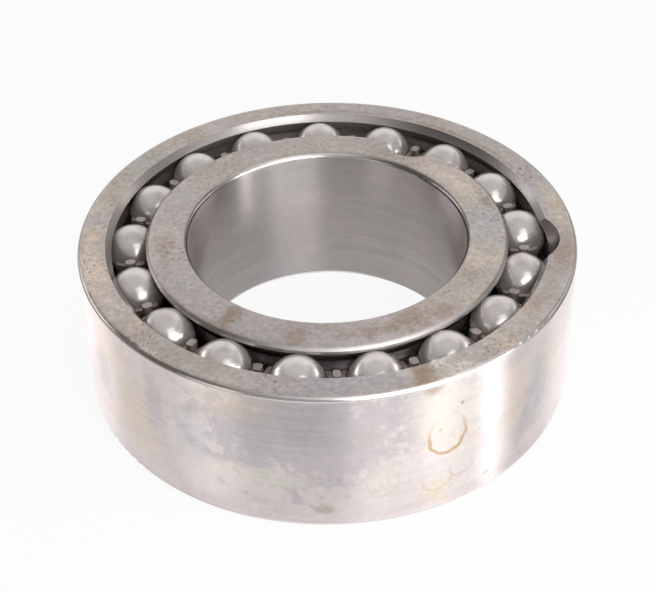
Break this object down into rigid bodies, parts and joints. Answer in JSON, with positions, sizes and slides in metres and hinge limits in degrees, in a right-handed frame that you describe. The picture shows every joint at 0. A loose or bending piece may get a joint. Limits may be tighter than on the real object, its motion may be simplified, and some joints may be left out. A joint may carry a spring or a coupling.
{
  "type": "double-row ball bearing",
  "caption": "Double-row angular contact ball bearing with filling slots, open on both faces, its balls held in two crown cages between a plain outer ring and an inner ring.",
  "frame": {"origin": "centre of the bearing: on the axis of rotation, half way between the two faces", "axes": "+Z along the axis of rotation, out of the face whose filling slots are seen from above; +X and +Y lie in the middle plane"},
  "size_m": [0.16, 0.16, 0.0524],
  "materials": {
    "outer_ring": "ground bearing steel with warm brown and violet stains",
    "inner_ring": "ground bearing steel, brown-grey, lightly rust-stained faces",
    "cage": "pressed sheet steel, dull and oily",
    "ball": "polished bearing steel"
  },
  "bodies": {
    "outer_ring": {"outer_ring": "outer_ring"},
    "inner_ring": {"inner_ring": "inner_ring"},
    "upper_cage": {"upper_cage": "cage"},
    "lower_cage": {"lower_cage": "cage"},
    "upper_ball_1": {"upper_ball_1": "ball"},
    "upper_ball_2": {"upper_ball_2": "ball"},
    "upper_ball_3": {"upper_ball_3": "ball"},
    "upper_ball_4": {"upper_ball_4": "ball"},
    "upper_ball_5": {"upper_ball_5": "ball"},
    "upper_ball_6": {"upper_ball_6": "ball"},
    "upper_ball_7": {"upper_ball_7": "ball"},
    "upper_ball_8": {"upper_ball_8": "ball"},
    "upper_ball_9": {"upper_ball_9": "ball"},
    "upper_ball_10": {"upper_ball_10": "ball"},
    "upper_ball_11": {"upper_ball_11": "ball"},
    "upper_ball_12": {"upper_ball_12": "ball"},
    "upper_ball_13": {"upper_ball_13": "ball"},
    "upper_ball_14": {"upper_ball_14": "ball"},
    "upper_ball_15": {"upper_ball_15": "ball"},
    "upper_ball_16": {"upper_ball_16": "ball"},
    "upper_ball_17": {"upper_ball_17": "ball"},
    "lower_ball_1": {"lower_ball_1": "ball"},
    "lower_ball_2": {"lower_ball_2": "ball"},
    "lower_ball_3": {"lower_ball_3": "ball"},
    "lower_ball_4": {"lower_ball_4": "ball"},
    "lower_ball_5": {"lower_ball_5": "ball"},
    "lower_ball_6": {"lower_ball_6": "ball"},
    "lower_ball_7": {"lower_ball_7": "ball"},
    "lower_ball_8": {"lower_ball_8": "ball"},
    "lower_ball_9": {"lower_ball_9": "ball"},
    "lower_ball_10": {"lower_ball_10": "ball"},
    "lower_ball_11": {"lower_ball_11": "ball"},
    "lower_ball_12": {"lower_ball_12": "ball"},
    "lower_ball_13": {"lower_ball_13": "ball"},
    "lower_ball_14": {"lower_ball_14": "ball"},
    "lower_ball_15": {"lower_ball_15": "ball"},
    "lower_ball_16": {"lower_ball_16": "ball"},
    "lower_ball_17": {"lower_ball_17": "ball"}
  },
  "joints": [
    {"name": "inner_ring_spin", "type": "hinge", "parent": "outer_ring", "child": "inner_ring", "pos_m": [0, 0, 0], "axis": [0, 0, 1], "continuous": true},
    {"name": "upper_cage_spin", "type": "hinge", "parent": "outer_ring", "child": "upper_cage", "pos_m": [0, 0, 0.0169], "axis": [0, 0, 1], "continuous": true},
    {"name": "lower_cage_spin", "type": "hinge", "parent": "outer_ring", "child": "lower_cage", "pos_m": [0, 0, -0.0169], "axis": [0, 0, 1], "continuous": true},
    {"name": "upper_ball_1_spin", "type": "hinge", "parent": "upper_cage", "child": "upper_ball_1", "pos_m": [-0.0095, -0.06279, 0.0169], "axis": [-0.0748, -0.4944, 0.866], "continuous": true},
    {"name": "upper_ball_2_spin", "type": "hinge", "parent": "upper_cage", "child": "upper_ball_2", "pos_m": [0.01383, -0.06198, 0.0169], "axis": [0.1089, -0.488, 0.866], "continuous": true},
    {"name": "upper_ball_3_spin", "type": "hinge", "parent": "upper_cage", "child": "upper_ball_3", "pos_m": [0.03528, -0.0528, 0.0169], "axis": [0.2778, -0.4157, 0.866], "continuous": true},
    {"name": "upper_ball_4_spin", "type": "hinge", "parent": "upper_cage", "child": "upper_ball_4", "pos_m": [0.05197, -0.03649, 0.0169], "axis": [0.4092, -0.2873, 0.866], "continuous": true},
    {"name": "upper_ball_5_spin", "type": "hinge", "parent": "upper_cage", "child": "upper_ball_5", "pos_m": [0.06164, -0.01525, 0.0169], "axis": [0.4854, -0.1201, 0.866], "continuous": true},
    {"name": "upper_ball_6_spin", "type": "hinge", "parent": "upper_cage", "child": "upper_ball_6", "pos_m": [0.06299, 0.00805, 0.0169], "axis": [0.496, 0.0634, 0.866], "continuous": true},
    {"name": "upper_ball_7_spin", "type": "hinge", "parent": "upper_cage", "child": "upper_ball_7", "pos_m": [0.05583, 0.03026, 0.0169], "axis": [0.4396, 0.2383, 0.866], "continuous": true},
    {"name": "upper_ball_8_spin", "type": "hinge", "parent": "upper_cage", "child": "upper_ball_8", "pos_m": [0.04113, 0.04838, 0.0169], "axis": [0.3238, 0.381, 0.866], "continuous": true},
    {"name": "upper_ball_9_spin", "type": "hinge", "parent": "upper_cage", "child": "upper_ball_9", "pos_m": [0.02087, 0.05997, 0.0169], "axis": [0.1643, 0.4722, 0.866], "continuous": true},
    {"name": "upper_ball_10_spin", "type": "hinge", "parent": "upper_cage", "child": "upper_ball_10", "pos_m": [-0.0022, 0.06346, 0.0169], "axis": [-0.0173, 0.4997, 0.866], "continuous": true},
    {"name": "upper_ball_11_spin", "type": "hinge", "parent": "upper_cage", "child": "upper_ball_11", "pos_m": [-0.02498, 0.05838, 0.0169], "axis": [-0.1967, 0.4597, 0.866], "continuous": true},
    {"name": "upper_ball_12_spin", "type": "hinge", "parent": "upper_cage", "child": "upper_ball_12", "pos_m": [-0.04438, 0.04541, 0.0169], "axis": [-0.3495, 0.3576, 0.866], "continuous": true},
    {"name": "upper_ball_13_spin", "type": "hinge", "parent": "upper_cage", "child": "upper_ball_13", "pos_m": [-0.05779, 0.02632, 0.0169], "axis": [-0.455, 0.2072, 0.866], "continuous": true},
    {"name": "upper_ball_14_spin", "type": "hinge", "parent": "upper_cage", "child": "upper_ball_14", "pos_m": [-0.06339, 0.00366, 0.0169], "axis": [-0.4992, 0.0288, 0.866], "continuous": true},
    {"name": "upper_ball_15_spin", "type": "hinge", "parent": "upper_cage", "child": "upper_ball_15", "pos_m": [-0.06044, -0.01949, 0.0169], "axis": [-0.4759, -0.1534, 0.866], "continuous": true},
    {"name": "upper_ball_16_spin", "type": "hinge", "parent": "upper_cage", "child": "upper_ball_16", "pos_m": [-0.04932, -0.04, 0.0169], "axis": [-0.3883, -0.315, 0.866], "continuous": true},
    {"name": "upper_ball_17_spin", "type": "hinge", "parent": "upper_cage", "child": "upper_ball_17", "pos_m": [-0.03154, -0.05512, 0.0169], "axis": [-0.2483, -0.434, 0.866], "continuous": true},
    {"name": "lower_ball_1_spin", "type": "hinge", "parent": "lower_cage", "child": "lower_ball_1", "pos_m": [-0.0095, 0.06279, -0.0169], "axis": [0.0748, -0.4944, 0.866], "continuous": true},
    {"name": "lower_ball_2_spin", "type": "hinge", "parent": "lower_cage", "child": "lower_ball_2", "pos_m": [0.01383, 0.06198, -0.0169], "axis": [-0.1089, -0.488, 0.866], "continuous": true},
    {"name": "lower_ball_3_spin", "type": "hinge", "parent": "lower_cage", "child": "lower_ball_3", "pos_m": [0.03528, 0.0528, -0.0169], "axis": [-0.2778, -0.4157, 0.866], "continuous": true},
    {"name": "lower_ball_4_spin", "type": "hinge", "parent": "lower_cage", "child": "lower_ball_4", "pos_m": [0.05197, 0.03649, -0.0169], "axis": [-0.4092, -0.2873, 0.866], "continuous": true},
    {"name": "lower_ball_5_spin", "type": "hinge", "parent": "lower_cage", "child": "lower_ball_5", "pos_m": [0.06164, 0.01525, -0.0169], "axis": [-0.4854, -0.1201, 0.866], "continuous": true},
    {"name": "lower_ball_6_spin", "type": "hinge", "parent": "lower_cage", "child": "lower_ball_6", "pos_m": [0.06299, -0.00805, -0.0169], "axis": [-0.496, 0.0634, 0.866], "continuous": true},
    {"name": "lower_ball_7_spin", "type": "hinge", "parent": "lower_cage", "child": "lower_ball_7", "pos_m": [0.05583, -0.03026, -0.0169], "axis": [-0.4396, 0.2383, 0.866], "continuous": true},
    {"name": "lower_ball_8_spin", "type": "hinge", "parent": "lower_cage", "child": "lower_ball_8", "pos_m": [0.04113, -0.04838, -0.0169], "axis": [-0.3238, 0.381, 0.866], "continuous": true},
    {"name": "lower_ball_9_spin", "type": "hinge", "parent": "lower_cage", "child": "lower_ball_9", "pos_m": [0.02087, -0.05997, -0.0169], "axis": [-0.1643, 0.4722, 0.866], "continuous": true},
    {"name": "lower_ball_10_spin", "type": "hinge", "parent": "lower_cage", "child": "lower_ball_10", "pos_m": [-0.0022, -0.06346, -0.0169], "axis": [0.0173, 0.4997, 0.866], "continuous": true},
    {"name": "lower_ball_11_spin", "type": "hinge", "parent": "lower_cage", "child": "lower_ball_11", "pos_m": [-0.02498, -0.05838, -0.0169], "axis": [0.1967, 0.4597, 0.866], "continuous": true},
    {"name": "lower_ball_12_spin", "type": "hinge", "parent": "lower_cage", "child": "lower_ball_12", "pos_m": [-0.04438, -0.04541, -0.0169], "axis": [0.3495, 0.3576, 0.866], "continuous": true},
    {"name": "lower_ball_13_spin", "type": "hinge", "parent": "lower_cage", "child": "lower_ball_13", "pos_m": [-0.05779, -0.02632, -0.0169], "axis": [0.455, 0.2072, 0.866], "continuous": true},
    {"name": "lower_ball_14_spin", "type": "hinge", "parent": "lower_cage", "child": "lower_ball_14", "pos_m": [-0.06339, -0.00366, -0.0169], "axis": [0.4992, 0.0288, 0.866], "continuous": true},
    {"name": "lower_ball_15_spin", "type": "hinge", "parent": "lower_cage", "child": "lower_ball_15", "pos_m": [-0.06044, 0.01949, -0.0169], "axis": [0.4759, -0.1534, 0.866], "continuous": true},
    {"name": "lower_ball_16_spin", "type": "hinge", "parent": "lower_cage", "child": "lower_ball_16", "pos_m": [-0.04932, 0.04, -0.0169], "axis": [0.3883, -0.315, 0.866], "continuous": true},
    {"name": "lower_ball_17_spin", "type": "hinge", "parent": "lower_cage", "child": "lower_ball_17", "pos_m": [-0.03154, 0.05512, -0.0169], "axis": [0.2483, -0.434, 0.866], "continuous": true}
  ],
  "couplings": [
    {"joint": "upper_cage_spin", "follows": "inner_ring_spin", "ratio": 0.44046},
    {"joint": "lower_cage_spin", "follows": "inner_ring_spin", "ratio": 0.44046},
    {"joint": "upper_ball_1_spin", "follows": "inner_ring_spin", "ratio": -3.5848},
    {"joint": "upper_ball_2_spin", "follows": "inner_ring_spin", "ratio": -3.5848},
    {"joint": "upper_ball_3_spin", "follows": "inner_ring_spin", "ratio": -3.5848},
    {"joint": "upper_ball_4_spin", "follows": "inner_ring_spin", "ratio": -3.5848},
    {"joint": "upper_ball_5_spin", "follows": "inner_ring_spin", "ratio": -3.5848},
    {"joint": "upper_ball_6_spin", "follows": "inner_ring_spin", "ratio": -3.5848},
    {"joint": "upper_ball_7_spin", "follows": "inner_ring_spin", "ratio": -3.5848},
    {"joint": "upper_ball_8_spin", "follows": "inner_ring_spin", "ratio": -3.5848},
    {"joint": "upper_ball_9_spin", "follows": "inner_ring_spin", "ratio": -3.5848},
    {"joint": "upper_ball_10_spin", "follows": "inner_ring_spin", "ratio": -3.5848},
    {"joint": "upper_ball_11_spin", "follows": "inner_ring_spin", "ratio": -3.5848},
    {"joint": "upper_ball_12_spin", "follows": "inner_ring_spin", "ratio": -3.5848},
    {"joint": "upper_ball_13_spin", "follows": "inner_ring_spin", "ratio": -3.5848},
    {"joint": "upper_ball_14_spin", "follows": "inner_ring_spin", "ratio": -3.5848},
    {"joint": "upper_ball_15_spin", "follows": "inner_ring_spin", "ratio": -3.5848},
    {"joint": "upper_ball_16_spin", "follows": "inner_ring_spin", "ratio": -3.5848},
    {"joint": "upper_ball_17_spin", "follows": "inner_ring_spin", "ratio": -3.5848},
    {"joint": "lower_ball_1_spin", "follows": "inner_ring_spin", "ratio": -3.5848},
    {"joint": "lower_ball_2_spin", "follows": "inner_ring_spin", "ratio": -3.5848},
    {"joint": "lower_ball_3_spin", "follows": "inner_ring_spin", "ratio": -3.5848},
    {"joint": "lower_ball_4_spin", "follows": "inner_ring_spin", "ratio": -3.5848},
    {"joint": "lower_ball_5_spin", "follows": "inner_ring_spin", "ratio": -3.5848},
    {"joint": "lower_ball_6_spin", "follows": "inner_ring_spin", "ratio": -3.5848},
    {"joint": "lower_ball_7_spin", "follows": "inner_ring_spin", "ratio": -3.5848},
    {"joint": "lower_ball_8_spin", "follows": "inner_ring_spin", "ratio": -3.5848},
    {"joint": "lower_ball_9_spin", "follows": "inner_ring_spin", "ratio": -3.5848},
    {"joint": "lower_ball_10_spin", "follows": "inner_ring_spin", "ratio": -3.5848},
    {"joint": "lower_ball_11_spin", "follows": "inner_ring_spin", "ratio": -3.5848},
    {"joint": "lower_ball_12_spin", "follows": "inner_ring_spin", "ratio": -3.5848},
    {"joint": "lower_ball_13_spin", "follows": "inner_ring_spin", "ratio": -3.5848},
    {"joint": "lower_ball_14_spin", "follows": "inner_ring_spin", "ratio": -3.5848},
    {"joint": "lower_ball_15_spin", "follows": "inner_ring_spin", "ratio": -3.5848},
    {"joint": "lower_ball_16_spin", "follows": "inner_ring_spin", "ratio": -3.5848},
    {"joint": "lower_ball_17_spin", "follows": "inner_ring_spin", "ratio": -3.5848}
  ]
}
